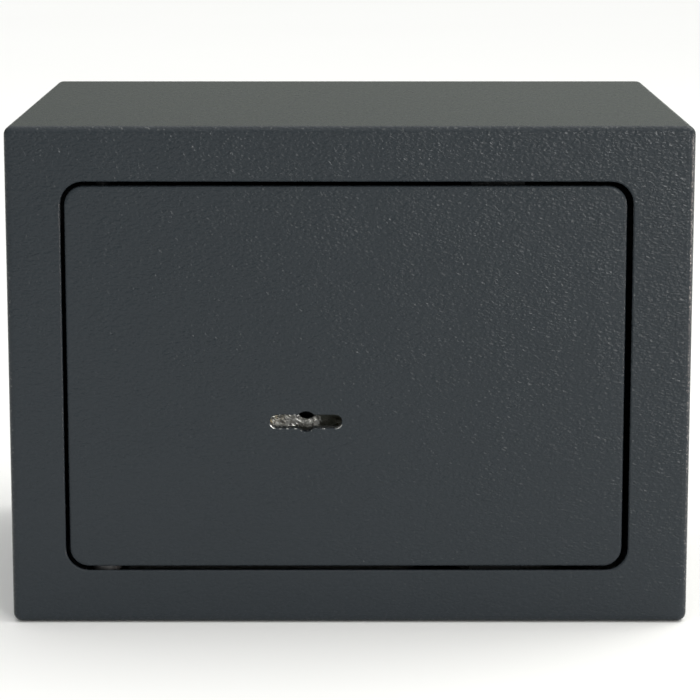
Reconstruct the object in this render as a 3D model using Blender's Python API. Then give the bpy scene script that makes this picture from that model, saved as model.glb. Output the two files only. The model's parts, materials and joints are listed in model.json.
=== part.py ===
"""A small front-opening key safe for documents and cash, as an assembly of its real pieces.

A folded sheet-steel body with a flush steel door. The door turns on two concealed pivot pins at
its left edge and is held by two round bolts at its right edge. A double-bitted lever lock on the
back of the door throws the bolts.

Dimensions are in millimetres and are scaled to metres when a mesh is made. +X is to the right of a
person who faces the door, +Y goes into the safe and +Z is up. The origin is the middle of the base.
"""

import math

import bmesh
import bpy
from mathutils import Matrix, Vector

MM = 0.001

# Body
WIDTH = 230.0
DEPTH = 170.0
HEIGHT = 170.0
BODY_SHEET = 1.5
EDGE_RADIUS = 3.0  # long edges of the body
FRONT_RADIUS = 2.5  # fold between the walls and the front frame
FRAME_LEFT = 18.5
FRAME_RIGHT = 20.4
FRAME_TOP = 18.5
FRAME_BOTTOM = 18.3
OPENING_RADIUS = 7.6
OPENING_EDGE = 0.5
ARC_MIDDLE = 1 - math.sqrt(0.5)  # a quarter arc's middle, in from its corner, as a share of its radius

# Clearances
GAP = 0.3  # between pieces that touch on the real object
RUNNING = 0.1  # radial, between a pin and its bore
HOLE_PLAY = 0.3  # radial, between a screw, stud or bolt and its hole
LEVER_GAP = 0.3  # between neighbouring levers

# Rear panel
PANEL_FLANGE = 12.0
PANEL_EDGE = 1.0
PANEL_INNER_RADIUS = 0.4

# Anchor holes, two in the rear panel and two in the base
ANCHOR_RADIUS = 4.5
ANCHOR_SPACING = 140.0
REAR_ANCHOR_HEIGHT = 120.0
BASE_ANCHOR_DEPTH = 10.0  # from the middle of the base, towards the back

# Door
DOOR_SHEET = 3.0
DOOR_EDGE = 1.0
DOOR_RADIUS = 6.4
GAP_HINGE = 1.3
GAP_BOLTS = 2.1
GAP_TOP = 1.5
GAP_BOTTOM = 1.4

# Keyhole, a level slot for the two bits with a round middle for the stem
KEY_FROM_DOOR_CENTRE_X = -13.4
KEY_FROM_DOOR_CENTRE_Z = -14.8
KEYHOLE_LENGTH = 24.4
KEYHOLE_WIDTH = 4.6
KEYHOLE_EDGE = 0.3
KEY_STEM_RADIUS = 3.5
KEY_SWEEP = 12.6  # radius that the turning bits need

# Hinge
PIN_RADIUS = 2.5
PIN_HEAD_RADIUS = 3.5
PIN_HEAD = 2.0
PIN_HEAD_EDGE = 0.4
PIN_TIP = 0.6
PIN_FROM_DOOR_EDGE = 12.2
PIN_FROM_FRONT = 7.0
BRACKET_SHEET = 1.6
BRACKET_WIDTH = 14.0
BRACKET_REACH = 11.5
BRACKET_LEG = 12.0
BRACKET_CLEAR = 0.9  # between a bracket and the edge of the door opening
LUG_WIDTH = 14.0
LUG_DEPTH = 8.6
LUG_HEIGHT = 15.0
LUG_RADIUS = 1.0
PIN_IN_LUG = 13.0
WASHER_RADIUS = 5.0

# Door stops
STOP_SHEET = 1.5
STOP_WIDTH = 18.0
STOP_FROM_DOOR_EDGE = 34.0
STOP_OVERLAP = 4.0
STOP_JOGGLE = 4.0
STOP_LEG = 9.0
STOP_KNEE = 1.0  # past the opening's edge
STOP_FOLD = 0.6

# Bolts and what carries them
BOLT_RADIUS = 6.0
BOLT_LENGTH = 28.0
BOLT_CHAMFER = 1.2
BOLT_SPACING = 55.0
BOLT_THROW = 12.0
BOLT_TIP_INSET = 1.0  # retracted tip, from the door's edge
BOLT_AXIS_DEPTH = 12.5  # from the front of the safe
RIVET_RADIUS = 3.0
RIVET_HEAD_RADIUS = 4.8
RIVET_HEAD = 1.6
RIVET_DOME = 1.0
RIVET_RIM = 0.6
BOLT_BASE_EDGE = 0.4
BAR_SHEET = 3.0
BAR_OVERHANG = 6.5
BAR_FRONT_REACH = 6.7  # from the bolts' axis towards the door
LEAF_HALF = 7.0
LEAF_END = 7.0  # past the first screw
LEAF_CORNER = 2.0
LEAF_SLOPE = 5.0
LEAF_INSET = 0.5  # of its root, within the bar
LEAF_CLEAR = 1.0  # from the rivet heads
LEAF_STEP = 0.02  # keeps the leaf's back and the bar's edge out of one plane
GUIDE_SHEET = 2.0
GUIDE_TIP_INSET = 4.5  # outer face, from the door's edge
GUIDE_FOOT = 22.0
GUIDE_REACH = 9.0  # past the bolts' axis, away from the door
GUIDE_OVERHANG = 23.0
STUD_FROM_GUIDE_END = 7.0

# Strike channel behind the frame
STRIKE_SHEET = 1.5
STRIKE_WIDTH = 13.0
STRIKE_FROM_OPENING = 2.4
STRIKE_OVERHANG = 18.0
STRIKE_PLAY = 0.5

# Lock case
LOCK_SPARE = 1.4  # between the last lever's gap and the cover
CASE_SHEET = 2.0
CASE_WALL = 1.5
CASE_CORNER = 2.5
CASE_INNER_CORNER = 1.0
CASE_KEYHOLE_PLAY = 0.2
COVER_SHEET = 1.5
CASE_LEFT = 23.8  # inner wall, from the key's axis
CASE_RIGHT = 37.8
CASE_HALF_HEIGHT = 20.0
EAR = 10.5
EAR_RADIUS = 4.0
STUD_FROM_CASE = 5.5
CASE_STUD_HALF = 15.5
PILLAR_RADIUS = 2.6
PILLAR_INSET = 2.4  # from the case's inner walls
LEFT_PILLAR_HEIGHT = -2.5  # from the key's axis

# Fasteners
STUD_RADIUS = 2.0
STUD_LENGTH = 7.0
STUD_TIP = 0.5
WELD_OVERLAP = 0.5  # of solids that are joined
NUT_ACROSS_FLATS = 7.0
NUT_HEIGHT = 3.2
NUT_EDGE = 0.5
SCREW_RADIUS = 1.5
SCREW_HEAD_RADIUS = 2.8
SCREW_HEAD = 1.6
SCREW_SLOT = 0.8
SCREW_SLOT_DEPTH = 0.7
SCREW_EDGE = 0.3
SCREW_GRIP = 5.0  # of a cover screw, past the cover
BAR_SCREW_RADIUS = 2.0
BAR_SCREW_HEAD_RADIUS = 3.6
BAR_SCREW_HEAD = 2.2

# Lock bolt, a fork whose upper arm has the notch that the key's bit drives
LOCK_BOLT_SHEET = 3.0
TALON_HEIGHT = 7.5
TALON_WIDTH = 6.2
TALON_RIGHT = -3.0  # right wall of the notch, from the key's axis
ARM_LEFT = 22.0
ARM_RIGHT = 16.0
ARM_PLAY = 0.4
LOWER_ARM_TOP = -12.8
NOTCH_PLAY = 0.2  # of the key's notch, past the bits' sweep
FORK_ROOT = 12.8
SHOULDER = 25.1
SHOULDER_HALF = 13.0
TAIL_HALF = 8.0
TAIL_END = 72.0
TAIL_SLOT_PLAY = 0.4

# Levers
FRONT_LEVERS = 4
REAR_LEVERS = 3
LEVER_SHEET = 1.2
LEVER_LEFT = 18.1
LEVER_RIGHT = 19.0
LEVER_HALF = 16.5
LEVER_CORNER = 2.0
GATE_DEPTH = 3.6
GATE_SPARE = 0.12
STUMP = 3.0
STUMP_CORNER = 0.4
STUMP_FROM_LEVER_EDGE = 0.3
LEVER_DROPS = (1.0, 1.6, 1.3, 1.8, 1.2, 1.7, 1.4)  # travel from gate height to rest
# Each lever's window has a flat above and one below the key's axis
WINDOW_FLATS = ((8.6, 11.2), (10.4, 9.2), (9.5, 10.6), (11.0, 8.8), (9.0, 10.2), (10.8, 9.6), (9.9, 11.0))
POST_RADIUS = 1.5
POST_X = -15.2
POST_HEIGHTS = (4.8, -9.0)
SLOT_PLAY = 0.3
SLOT_TRAVEL = 2.2
SPRING_THICKNESS = 0.35
SPRING_WIDTH = 0.9
SPRING_RISE = 2.4
SPRING_FOOT = 6.0
SPRING_REACH = 20.0

# Floor mat
MAT_THICKNESS = 3.0
MAT_SIDE_GAP = 1.5
MAT_FRONT = 15.0  # from the front of the safe
MAT_RADIUS = 4.0
MAT_HOLE_RADIUS = 9.0

# Straight steps in a quarter turn, in the front fold and around a round piece
CORNER_STEPS = 6
FOLD_STEPS = 5
ROUND_STEPS = 32
SMALL_ROUND_STEPS = 20
SCREW_HOLE_STEPS = 12

# Tests on edges
SAME_PLACE = 1e-4
RIM_ANGLE = 0.5  # radians between two faces, above which their edge is a rim

# Places worked out from the sizes above
FRONT = -DEPTH / 2
BACK = DEPTH / 2
FRAME_BACK = FRONT + BODY_SHEET
OPENING = (-WIDTH / 2 + FRAME_LEFT, WIDTH / 2 - FRAME_RIGHT, FRAME_BOTTOM, HEIGHT - FRAME_TOP)
DOOR = (OPENING[0] + GAP_HINGE, OPENING[1] - GAP_BOLTS, OPENING[2] + GAP_BOTTOM, OPENING[3] - GAP_TOP)
DOOR_BACK = FRONT + DOOR_SHEET
ON_DOOR = DOOR_BACK + GAP  # front plane of what is fixed to the door's back
DOOR_CENTRE = ((DOOR[0] + DOOR[1]) / 2, (DOOR[2] + DOOR[3]) / 2)
KEY_X = DOOR_CENTRE[0] + KEY_FROM_DOOR_CENTRE_X
KEY_Z = DOOR_CENTRE[1] + KEY_FROM_DOOR_CENTRE_Z
HINGE = (DOOR[0] + PIN_FROM_DOOR_EDGE, FRONT + PIN_FROM_FRONT)
BOLT_AXIS_Y = FRONT + BOLT_AXIS_DEPTH
BOLT_HEIGHTS = (DOOR_CENTRE[1] + BOLT_SPACING / 2, DOOR_CENTRE[1] - BOLT_SPACING / 2)
BOLT_TIP = DOOR[1] - BOLT_TIP_INSET
BOLT_BASE = BOLT_TIP - BOLT_LENGTH
BAR_RIGHT = BOLT_BASE - GAP
BAR_LEFT = BAR_RIGHT - BAR_SHEET
CASE_BACK = ON_DOOR + CASE_SHEET
LEVER_PITCH = LEVER_SHEET + LEVER_GAP
FIRST_LEVER = CASE_BACK + LEVER_GAP
LOCK_BOLT_FRONT = FIRST_LEVER + FRONT_LEVERS * LEVER_PITCH
LOCK_BOLT_BACK = LOCK_BOLT_FRONT + LOCK_BOLT_SHEET
COVER_FRONT = LOCK_BOLT_BACK + LEVER_GAP + REAR_LEVERS * LEVER_PITCH + LOCK_SPARE
BAR_PLATE_FRONT = LOCK_BOLT_BACK + GAP
BAR_PLATE_BACK = BAR_PLATE_FRONT + BAR_SHEET
BAR_SCREWS = (KEY_X + 54.7, KEY_X + 65.7)


# ---------------------------------------------------------------- outlines


def arc(centre, radius, start, end, steps):
    """Points of an arc in a plane, with angles in degrees."""
    points = []
    for i in range(steps + 1):
        angle = math.radians(start + (end - start) * i / steps)
        points.append((centre[0] + radius * math.cos(angle), centre[1] + radius * math.sin(angle)))
    return points


def circle(centre, radius, steps=ROUND_STEPS):
    return arc(centre, radius, 0, 360 * (steps - 1) / steps, steps - 1)


def rounded(left, right, low, high, radius, steps=CORNER_STEPS):
    """A rectangle with round corners, with the same number of points at any radius."""
    corners = ((right, high, 0), (left, high, 90), (left, low, 180), (right, low, 270))
    points = []
    for u, v, start in corners:
        inward_u = radius if u == left else -radius
        inward_v = radius if v == low else -radius
        centre = (u + inward_u, v + inward_v)
        points += arc(centre, radius, start, start + 90, steps)
    return points


def slot_outline(centre, length, width, upright=False):
    """A slot with half-round ends."""
    half = length / 2 - width / 2
    points = arc((half, 0), width / 2, -90, 90, CORNER_STEPS)
    points += arc((-half, 0), width / 2, 90, 270, CORNER_STEPS)
    if upright:
        points = [(-v, u) for u, v in points]
    return [(u + centre[0], v + centre[1]) for u, v in points]


def keyhole_outline(grow=0.0):
    """The level slot with its round middle, around the key's axis."""
    half_width = KEYHOLE_WIDTH / 2 + grow
    stem = KEY_STEM_RADIUS + grow
    end = KEYHOLE_LENGTH / 2 + grow - half_width
    meet = math.degrees(math.asin(half_width / stem))
    points = arc((end, 0), half_width, -90, 90, CORNER_STEPS)
    points += arc((0, 0), stem, meet, 180 - meet, CORNER_STEPS)
    points += arc((-end, 0), half_width, 90, 270, CORNER_STEPS)
    points += arc((0, 0), stem, 180 + meet, 360 - meet, CORNER_STEPS)
    return [(u + KEY_X, v + KEY_Z) for u, v in points]


# ---------------------------------------------------------------- solids


def to_space(plane, u, v, w):
    """A point of a plane at the distance w along that plane's normal."""
    if plane == "XZ":
        return Vector((u, w, v))
    if plane == "XY":
        return Vector((u, v, w))
    return Vector((w, u, v))


def extruded(loops, plane, start, end):
    """A plate between two parallel planes. The first loop is its outline and the others are holes."""
    bm = bmesh.new()
    for loop in loops:
        corners = [bm.verts.new(to_space(plane, u, v, start)) for u, v in loop]
        for i, corner in enumerate(corners):
            bm.edges.new((corner, corners[(i + 1) % len(corners)]))
    bmesh.ops.triangle_fill(bm, use_beauty=True, edges=bm.edges[:])
    made = bmesh.ops.extrude_face_region(bm, geom=bm.faces[:])
    moved = [item for item in made["geom"] if isinstance(item, bmesh.types.BMVert)]
    bmesh.ops.translate(bm, verts=moved, vec=to_space(plane, 0, 0, end - start))
    return bm


def lofted(rings, capped):
    """A surface through rings with equal numbers of points. Without caps the last ring meets the first."""
    bm = bmesh.new()
    loops = [[bm.verts.new(point) for point in ring] for ring in rings]
    pairs = list(zip(loops, loops[1:]))
    if not capped:
        pairs.append((loops[-1], loops[0]))
    for a, b in pairs:
        for i in range(len(a)):
            j = (i + 1) % len(a)
            bm.faces.new((a[i], a[j], b[j], b[i]))
    if capped:
        bm.faces.new(loops[0])
        bm.faces.new(loops[-1])
    return bm


def turned(profile, axis, centre, steps=ROUND_STEPS):
    """A closed profile of (radius, distance along the axis) points, turned around an axis."""
    direction = {"X": Vector((1, 0, 0)), "Y": Vector((0, 1, 0)), "Z": Vector((0, 0, 1))}[axis]
    side = Vector((0, 0, 1)) if axis == "X" else Vector((1, 0, 0))
    centre = Vector(centre)
    bm = bmesh.new()
    corners = [bm.verts.new(centre + side * radius + direction * along) for radius, along in profile]
    edges = [bm.edges.new(pair) for pair in zip(corners, corners[1:])]
    if min(profile[0][0], profile[-1][0]) > 0:
        edges.append(bm.edges.new((corners[-1], corners[0])))
    bmesh.ops.spin(
        bm, geom=corners + edges, cent=centre, axis=direction, angle=math.tau, steps=steps, use_merge=True
    )
    bmesh.ops.remove_doubles(bm, verts=bm.verts, dist=1e-4)
    return bm


def bevel_edges(bm, wanted, width, steps=2):
    """Rounds the edges for which wanted(edge) holds."""
    chosen = [edge for edge in bm.edges if wanted(edge)]
    bmesh.ops.bevel(bm, geom=chosen, offset=width, segments=steps, profile=0.5, affect="EDGES")


def make_material(name, colour, roughness, metallic):
    material = bpy.data.materials.new(name)
    material.use_nodes = True
    shader = material.node_tree.nodes["Principled BSDF"]
    shader.inputs["Base Color"].default_value = (*colour, 1.0)
    shader.inputs["Roughness"].default_value = roughness
    shader.inputs["Metallic"].default_value = metallic
    material.diffuse_color = (*colour, 1.0)
    return material


def make_mount(name, point):
    """An empty that the pieces of one rigid body hang on."""
    mount = bpy.data.objects.new(name, None)
    mount.location = Vector(point) * MM
    bpy.context.scene.collection.objects.link(mount)
    return mount


def make_piece(name, bm, material, mount, origin=None):
    """Finishes a piece that was modelled in place, with its origin at its mount or at a given point."""
    bmesh.ops.recalc_face_normals(bm, faces=bm.faces)
    origin = mount.location.copy() if origin is None else Vector(origin) * MM
    mesh = bpy.data.meshes.new(name)
    bmesh.ops.transform(bm, matrix=Matrix.Translation(-origin) @ Matrix.Scale(MM, 4), verts=bm.verts)
    bm.to_mesh(mesh)
    bm.free()
    mesh.shade_smooth()
    mesh.set_sharp_from_angle(angle=math.radians(35))
    mesh.materials.append(material)
    piece = bpy.data.objects.new(name, mesh)
    bpy.context.scene.collection.objects.link(piece)
    piece.parent = mount
    piece.location = origin - mount.location
    return piece


def make_tool(name, bm, mount):
    """A helper solid that another piece is cut by or joined with."""
    tool = make_piece(name, bm, None, mount)
    tool.hide_render = True
    tool.display_type = "WIRE"
    return tool


def combine(piece, tools, operation):
    for tool in tools:
        modifier = piece.modifiers.new(f"{operation.lower()} {tool.name}", "BOOLEAN")
        modifier.operation = operation
        modifier.solver = "EXACT"
        modifier.object = tool


def hole_tool(name, axis, centre, radius, half_length, mount, steps=ROUND_STEPS):
    """A round cutter whose flats clear the radius."""
    outer = radius / math.cos(math.pi / steps)
    profile = [(0, -half_length), (outer, -half_length), (outer, half_length), (0, half_length)]
    return make_tool(name, turned(profile, axis, centre, steps), mount)


# ---------------------------------------------------------------- body


def wall_ring(inset, y, radius):
    """A ring around the body's outline, set in from its outer surface."""
    outline = rounded(-WIDTH / 2 + inset, WIDTH / 2 - inset, inset, HEIGHT - inset, radius)
    return [Vector((x, y, z)) for x, z in outline]


def opening_ring(grow, y):
    left, right, low, high = OPENING
    outline = rounded(left - grow, right + grow, low - grow, high + grow, OPENING_RADIUS + grow)
    return [Vector((x, y, z)) for x, z in outline]


def make_body(mats, body):
    """The folded tube of four walls with the front frame, one sheet thick."""
    rings = [wall_ring(0, BACK, EDGE_RADIUS)]
    for i in range(FOLD_STEPS + 1):
        angle = math.pi / 2 * i / FOLD_STEPS
        inset = FRONT_RADIUS * (1 - math.cos(angle))
        rings.append(wall_ring(inset, FRONT + FRONT_RADIUS * (1 - math.sin(angle)), EDGE_RADIUS - inset))
    rings.append(opening_ring(OPENING_EDGE, FRONT))
    rings.append(opening_ring(OPENING_EDGE * ARC_MIDDLE, FRONT + OPENING_EDGE * ARC_MIDDLE))
    rings.append(opening_ring(0, FRONT + OPENING_EDGE))
    rings.append(opening_ring(0, FRAME_BACK))
    inner_radius = EDGE_RADIUS - BODY_SHEET
    rings.append(wall_ring(BODY_SHEET, FRAME_BACK, inner_radius))
    rings.append(wall_ring(BODY_SHEET, BACK, inner_radius))
    shell = make_piece("body_shell", lofted(rings, capped=False), mats["paint"], body)
    tools = []
    for side, x in (("left", -ANCHOR_SPACING / 2), ("right", ANCHOR_SPACING / 2)):
        centre = (x, BASE_ANCHOR_DEPTH, 0)
        tools.append(hole_tool(f"base_hole_{side}", "Z", centre, ANCHOR_RADIUS, 4 * BODY_SHEET, body))
    combine(shell, tools, "DIFFERENCE")


def make_rear_panel(mats, body):
    """A shallow tray that closes the tube, with its flange turned into the safe."""
    outer = BODY_SHEET + GAP
    inner = outer + BODY_SHEET
    radius = EDGE_RADIUS - BODY_SHEET
    rim = PANEL_EDGE * ARC_MIDDLE
    rings = [
        wall_ring(inner, BACK - BODY_SHEET, PANEL_INNER_RADIUS),
        wall_ring(inner, BACK - PANEL_FLANGE, PANEL_INNER_RADIUS),
        wall_ring(outer, BACK - PANEL_FLANGE, radius),
        wall_ring(outer, BACK - PANEL_EDGE, radius),
        wall_ring(outer + rim, BACK - rim, radius - rim),
        wall_ring(outer + PANEL_EDGE, BACK, radius - PANEL_EDGE),
    ]
    panel = make_piece("rear_panel", lofted(rings, capped=True), mats["paint"], body)
    tools = []
    for side, x in (("left", -ANCHOR_SPACING / 2), ("right", ANCHOR_SPACING / 2)):
        centre = (x, BACK, REAR_ANCHOR_HEIGHT)
        tools.append(hole_tool(f"rear_hole_{side}", "Y", centre, ANCHOR_RADIUS, 4 * BODY_SHEET, body))
    combine(panel, tools, "DIFFERENCE")


def make_hinge_bracket(name, edge, side, mats, body):
    """An angle on the frame's back, at the opening's edge. Side is 1 above the door and -1 below it."""
    near = edge + side * BRACKET_CLEAR
    leaf = near + side * BRACKET_SHEET
    end = near + side * BRACKET_LEG
    front = FRAME_BACK + GAP
    back = front + BRACKET_REACH
    leg = front + BRACKET_SHEET
    outline = [(front, near), (back, near), (back, leaf), (leg, leaf), (leg, end), (front, end)]
    left = HINGE[0] - BRACKET_WIDTH / 2
    bracket = make_piece(name, extruded([outline], "YZ", left, left + BRACKET_WIDTH), mats["paint"], body)
    centre = (*HINGE, near)
    tool = hole_tool(f"{name}_hole", "Z", centre, PIN_RADIUS + RUNNING, 4 * BRACKET_SHEET, body)
    combine(bracket, [tool], "DIFFERENCE")
    return leaf


def make_hinge_pin(name, seat, lug_edge, side, mats, body):
    """A headed pin that stands on its bracket and reaches into the door's lug."""
    head_start = seat + side * GAP
    tip = lug_edge - side * PIN_IN_LUG
    profile = [
        (0, head_start + side * PIN_HEAD),
        (PIN_HEAD_RADIUS - PIN_HEAD_EDGE, head_start + side * PIN_HEAD),
        (PIN_HEAD_RADIUS, head_start + side * (PIN_HEAD - PIN_HEAD_EDGE)),
        (PIN_HEAD_RADIUS, head_start),
        (PIN_RADIUS, head_start),
        (PIN_RADIUS, tip + side * PIN_TIP),
        (PIN_RADIUS - PIN_TIP, tip),
        (0, tip),
    ]
    make_piece(name, turned(profile, "Z", (*HINGE, 0)), mats["paint"], body)


def make_hinge(mats, body, door):
    """Brackets and pins on the body, lugs on the door and the washer that carries the door."""
    ends = (("upper", OPENING[3], DOOR[3], 1), ("lower", OPENING[2], DOOR[2], -1))
    for end, opening_edge, door_edge, side in ends:
        seat = make_hinge_bracket(f"hinge_bracket_{end}", opening_edge, side, mats, body)
        make_hinge_pin(f"hinge_pin_{end}", seat, door_edge, side, mats, body)
        left = HINGE[0] - LUG_WIDTH / 2
        outline = rounded(left, left + LUG_WIDTH, ON_DOOR, ON_DOOR + LUG_DEPTH, LUG_RADIUS, 2)
        low, high = sorted((door_edge, door_edge - side * LUG_HEIGHT))
        bore = circle(HINGE, (PIN_RADIUS + RUNNING) / math.cos(math.pi / ROUND_STEPS))
        make_piece(f"hinge_lug_{end}", extruded([outline, bore], "XY", low, high), mats["paint"], door)
    low = OPENING[2] - BRACKET_CLEAR + GAP
    high = DOOR[2] - GAP
    outer = circle(HINGE, WASHER_RADIUS)
    bore = circle(HINGE, (PIN_RADIUS + RUNNING) / math.cos(math.pi / ROUND_STEPS))
    make_piece("hinge_washer", extruded([outer, bore], "XY", low, high), mats["nylon"], body)


def make_door_stop(name, opening_edge, door_edge, side, mats, body):
    """A joggled tab on the frame's back that the door's back closes against."""
    front = FRAME_BACK + GAP
    stop = DOOR_BACK + GAP
    knee = opening_edge + side * STOP_KNEE
    root = knee + side * STOP_JOGGLE
    tip = door_edge - side * STOP_OVERLAP
    end = root + side * STOP_LEG
    outline = [
        (front, end),
        (front, root),
        (stop, knee),
        (stop, tip),
        (stop + STOP_SHEET, tip),
        (stop + STOP_SHEET, knee + side * STOP_FOLD),
        (front + STOP_SHEET, root + side * STOP_FOLD),
        (front + STOP_SHEET, end),
    ]
    right = DOOR[1] - STOP_FROM_DOOR_EDGE
    make_piece(name, extruded([outline], "YZ", right - STOP_WIDTH, right), mats["paint"], body)


def make_strike(mats, body):
    """A channel behind the frame that takes up the space between the frame and the bolts."""
    left = OPENING[1] + STRIKE_FROM_OPENING
    right = left + STRIKE_WIDTH
    front = FRAME_BACK + GAP
    back = BOLT_AXIS_Y - BOLT_RADIUS - STRIKE_PLAY
    outline = [
        (left, front),
        (right, front),
        (right, front + STRIKE_SHEET),
        (left + STRIKE_SHEET, front + STRIKE_SHEET),
        (left + STRIKE_SHEET, back - STRIKE_SHEET),
        (right, back - STRIKE_SHEET),
        (right, back),
        (left, back),
    ]
    low = BOLT_HEIGHTS[1] - STRIKE_OVERHANG
    high = BOLT_HEIGHTS[0] + STRIKE_OVERHANG
    make_piece("strike_channel", extruded([outline], "XY", low, high), mats["paint"], body)


def make_mat(mats, body):
    inset = BODY_SHEET + MAT_SIDE_GAP
    back = BACK - PANEL_FLANGE - MAT_SIDE_GAP
    outline = rounded(-WIDTH / 2 + inset, WIDTH / 2 - inset, FRONT + MAT_FRONT, back, MAT_RADIUS)
    low = BODY_SHEET + GAP
    places = [(side * ANCHOR_SPACING / 2, BASE_ANCHOR_DEPTH) for side in (-1, 1)]
    holes = [circle(place, MAT_HOLE_RADIUS) for place in places]
    make_piece("floor_mat", extruded([outline, *holes], "XY", low, low + MAT_THICKNESS), mats["felt"], body)


# ---------------------------------------------------------------- door


def case_stud_places():
    """Where the lock case is held, around the key's axis."""
    left = KEY_X - CASE_LEFT - CASE_WALL - STUD_FROM_CASE
    right = KEY_X + CASE_RIGHT + CASE_WALL + STUD_FROM_CASE
    return [(x, KEY_Z + dz) for x in (left, right) for dz in (CASE_STUD_HALF, -CASE_STUD_HALF)]


def guide_stud_places():
    x = DOOR[1] - GUIDE_TIP_INSET - GUIDE_FOOT / 2
    reach = BOLT_SPACING / 2 + GUIDE_OVERHANG - STUD_FROM_GUIDE_END
    return [(x, DOOR_CENTRE[1] + reach), (x, DOOR_CENTRE[1] - reach)]


def make_door_plate(mats, door):
    """The flush front plate with its keyhole and the studs welded to its back."""
    outline = rounded(*DOOR, DOOR_RADIUS)
    bm = extruded([outline, keyhole_outline()], "XZ", FRONT, DOOR_BACK)
    key = Vector((KEY_X, FRONT, KEY_Z))

    def front_rim(edge):
        at_front = all(abs(v.co.y - FRONT) < SAME_PLACE for v in edge.verts)
        return at_front and edge.calc_face_angle(0) > RIM_ANGLE

    def near_key(edge):
        return (edge.verts[0].co - key).length < KEYHOLE_LENGTH

    bevel_edges(bm, lambda edge: front_rim(edge) and not near_key(edge), DOOR_EDGE, 3)
    bevel_edges(bm, lambda edge: front_rim(edge) and near_key(edge), KEYHOLE_EDGE, 2)
    plate = make_piece("door_plate", bm, mats["paint"], door)
    studs = []
    root = DOOR_BACK - WELD_OVERLAP
    for i, (x, z) in enumerate(case_stud_places() + guide_stud_places()):
        end = ON_DOOR + STUD_LENGTH
        profile = [
            (0, root),
            (STUD_RADIUS, root),
            (STUD_RADIUS, end - STUD_TIP),
            (STUD_RADIUS - STUD_TIP, end),
            (0, end),
        ]
        stud = turned(profile, "Y", (x, 0, z), SMALL_ROUND_STEPS)
        studs.append(make_tool(f"weld_stud_{i + 1}", stud, door))
    combine(plate, studs, "UNION")


def make_nut(name, place, seat, mats, door):
    """A hexagonal nut on a weld stud, with chamfered corners on its outer face."""
    x, z = place
    corner = NUT_ACROSS_FLATS / 2 / math.cos(math.pi / 6)
    front = seat + GAP
    outer = front + NUT_HEIGHT
    bm = extruded([circle(place, corner, 6), *stud_holes([place])], "XZ", front, outer)

    def on_outer_rim(edge):
        at_end = all(abs(v.co.y - outer) < SAME_PLACE for v in edge.verts)
        far = all(math.hypot(v.co.x - x, v.co.z - z) > NUT_ACROSS_FLATS / 2 for v in edge.verts)
        return at_end and far and edge.calc_face_angle(0) > RIM_ANGLE

    bevel_edges(bm, on_outer_rim, NUT_EDGE, 1)
    make_piece(name, bm, mats["zinc"], door)


def make_guide(mats, door):
    """An angle on the door's back whose upright leaf the bolts slide through."""
    right = DOOR[1] - GUIDE_TIP_INSET
    left = right - GUIDE_FOOT
    end = BOLT_AXIS_Y + GUIDE_REACH
    outline = [
        (left, ON_DOOR),
        (right, ON_DOOR),
        (right, end),
        (right - GUIDE_SHEET, end),
        (right - GUIDE_SHEET, ON_DOOR + GUIDE_SHEET),
        (left, ON_DOOR + GUIDE_SHEET),
    ]
    low = BOLT_HEIGHTS[1] - GUIDE_OVERHANG
    high = BOLT_HEIGHTS[0] + GUIDE_OVERHANG
    guide = make_piece("bolt_guide", extruded([outline], "XY", low, high), mats["zinc"], door)
    tools = []
    for end_name, z in zip(("upper", "lower"), BOLT_HEIGHTS):
        centre = (right, BOLT_AXIS_Y, z)
        name = f"guide_bolt_hole_{end_name}"
        tools.append(hole_tool(name, "X", centre, BOLT_RADIUS + HOLE_PLAY, 3 * GUIDE_SHEET, door))
    for end_name, (x, z) in zip(("upper", "lower"), guide_stud_places()):
        name = f"guide_stud_hole_{end_name}"
        centre = (x, ON_DOOR, z)
        radius = STUD_RADIUS + HOLE_PLAY
        tools.append(hole_tool(name, "Y", centre, radius, 3 * GUIDE_SHEET, door, SMALL_ROUND_STEPS))
        make_nut(f"guide_nut_{end_name}", (x, z), ON_DOOR + GUIDE_SHEET, mats, door)
    combine(guide, tools, "DIFFERENCE")


def case_box(grow):
    """The lock case's inner outline, grown outwards."""
    return (
        KEY_X - CASE_LEFT - grow,
        KEY_X + CASE_RIGHT + grow,
        KEY_Z - CASE_HALF_HEIGHT - grow,
        KEY_Z + CASE_HALF_HEIGHT + grow,
    )


def stud_holes(places):
    radius = (STUD_RADIUS + HOLE_PLAY) / math.cos(math.pi / SMALL_ROUND_STEPS)
    return [circle(place, radius, SMALL_ROUND_STEPS) for place in places]


def pillar_places():
    left, right, low, high = case_box(-PILLAR_INSET)
    return [(left, KEY_Z + LEFT_PILLAR_HEIGHT), (right, high), (right, low)]


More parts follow.
